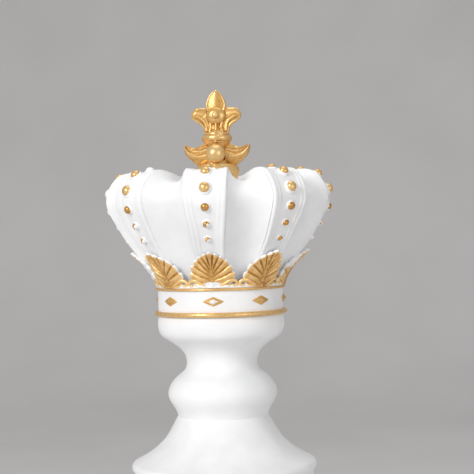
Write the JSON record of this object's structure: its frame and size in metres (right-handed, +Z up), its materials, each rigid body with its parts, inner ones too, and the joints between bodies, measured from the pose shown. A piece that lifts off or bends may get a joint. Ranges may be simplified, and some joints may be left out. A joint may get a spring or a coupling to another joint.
{
  "type": "giant chess king",
  "caption": "Tall white garden chess king with a closed arched crown, gold studs, shell leaves and a fleur-de-lis finial; the crown and finial unscrew.",
  "frame": {"origin": "centre of the foot on the ground", "axes": "+Z up along the turned axis, -Y towards the front strap and the face of the finial, +X to the viewer's right"},
  "size_m": [0.244, 0.244, 0.64],
  "materials": {
    "white_casting": "satin white paint on cast resin",
    "white_straps": "satin white paint on cast resin",
    "gold_rims": "hand-painted antique gold",
    "gold_diamonds": "hand-painted antique gold",
    "gold_leaves": "hand-painted antique gold, darker in the folds, white side edges",
    "gold_studs": "hand-painted antique gold over white",
    "gold_finial": "hand-painted antique gold",
    "finial_thread": "turned",
    "thread_plastic": "moulded, bare",
    "seal_rubber": "matte",
    "foot_rubber": "matte",
    "base_plate_plastic": "moulded, matte",
    "steel_hardware": "zinc plated",
    "ballast_iron": "rough cast"
  },
  "bodies": {
    "base": {"ballast_disc": "ballast_iron", "ballast_nut": "steel_hardware", "ballast_washer": "steel_hardware", "base_plate": "base_plate_plastic", "base_plate_screws": "steel_hardware", "body_shell": "white_casting", "foot_ring": "foot_rubber", "plinth_shell": "white_casting", "stem_shell": "white_casting", "threaded_spigot": "thread_plastic", "tie_rod": "steel_hardware", "upper_nut": "steel_hardware", "upper_washer": "steel_hardware"},
    "crown_seal": {"crown_gasket": "seal_rubber"},
    "crown": {"crown_band": "white_casting", "crown_deck": "white_casting", "lower_rim_trim": "gold_rims", "upper_rim_trim": "gold_rims", "band_lozenges": "gold_diamonds", "crown_bowl": "white_casting", "crown_boss": "white_casting", "crown_strap_1": "white_straps", "crown_strap_2": "white_straps", "crown_strap_3": "white_straps", "crown_strap_4": "white_straps", "crown_strap_5": "white_straps", "crown_strap_6": "white_straps", "crown_strap_7": "white_straps", "crown_strap_8": "white_straps", "strap_studs_1": "gold_studs", "strap_studs_2": "gold_studs", "strap_studs_3": "gold_studs", "strap_studs_4": "gold_studs", "strap_studs_5": "gold_studs", "strap_studs_6": "gold_studs", "strap_studs_7": "gold_studs", "strap_studs_8": "gold_studs", "crown_leaf_1": "gold_leaves", "crown_leaf_2": "gold_leaves", "crown_leaf_3": "gold_leaves", "crown_leaf_4": "gold_leaves", "crown_leaf_5": "gold_leaves", "crown_leaf_6": "gold_leaves", "crown_leaf_7": "gold_leaves", "crown_leaf_8": "gold_leaves"},
    "finial_seal": {"finial_washer": "seal_rubber"},
    "finial": {"finial_stud": "finial_thread", "finial_foot": "gold_finial", "finial_horns": "gold_finial", "finial_orbs": "gold_finial", "finial_collar": "gold_finial", "finial_bud": "gold_finial", "finial_fleur": "gold_finial", "finial_beads": "gold_finial"}
  },
  "joints": [
    {"name": "crown_lift", "type": "slide", "parent": "base", "child": "crown_seal", "axis": [0, 0, 1], "range_m": [0, 0.016]},
    {"name": "crown_turn", "type": "hinge", "parent": "crown_seal", "child": "crown", "pos_m": [0, 0, 0.4157], "axis": [0, 0, 1], "range_deg": [0, 720.5]},
    {"name": "finial_lift", "type": "slide", "parent": "crown", "child": "finial_seal", "axis": [0, 0, 1], "range_m": [0, 0.012]},
    {"name": "finial_turn", "type": "hinge", "parent": "finial_seal", "child": "finial", "pos_m": [0, 0, 0.548], "axis": [0, 0, 1], "range_deg": [0, 1081]}
  ],
  "couplings": [
    {"joint": "crown_turn", "follows": "crown_lift", "rad_per_m": 785.4},
    {"joint": "finial_turn", "follows": "finial_lift", "rad_per_m": 1570.8}
  ]
}
